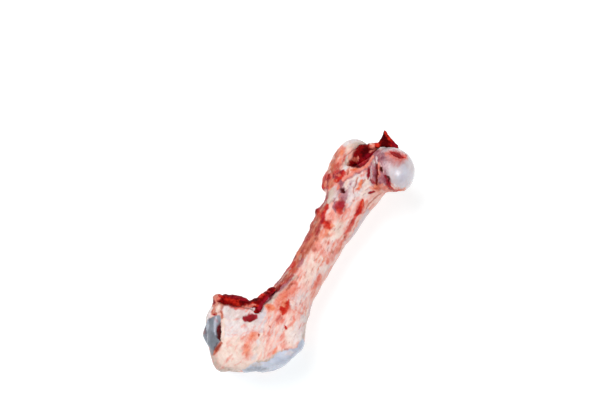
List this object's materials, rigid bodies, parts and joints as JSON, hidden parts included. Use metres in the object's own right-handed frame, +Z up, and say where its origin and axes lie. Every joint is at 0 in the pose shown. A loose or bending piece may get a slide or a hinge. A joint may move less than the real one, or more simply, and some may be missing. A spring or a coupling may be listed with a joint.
{
  "type": "pork femur bone",
  "caption": "Raw trimmed pork thigh bone, lying on its outer side, with hip ball, knob, knee end and scraps of dark muscle left on it.",
  "frame": {"origin": "on the table under the middle of the part's box", "axes": "+X up the bone to the hip, +Y to the back of the leg, +Z up from the table, which is the inner side of the leg"},
  "size_m": [0.202, 0.0846, 0.0608],
  "materials": {
    "bone": "damp cream and salmon bone under its thin skin, with bluish white joint cartilage",
    "meat": "wet dark red muscle"
  },
  "bodies": {
    "root": {"femur": "bone", "fossa_meat": "meat", "hip_flap": "meat", "knee_meat": "meat"}
  },
  "joints": []
}
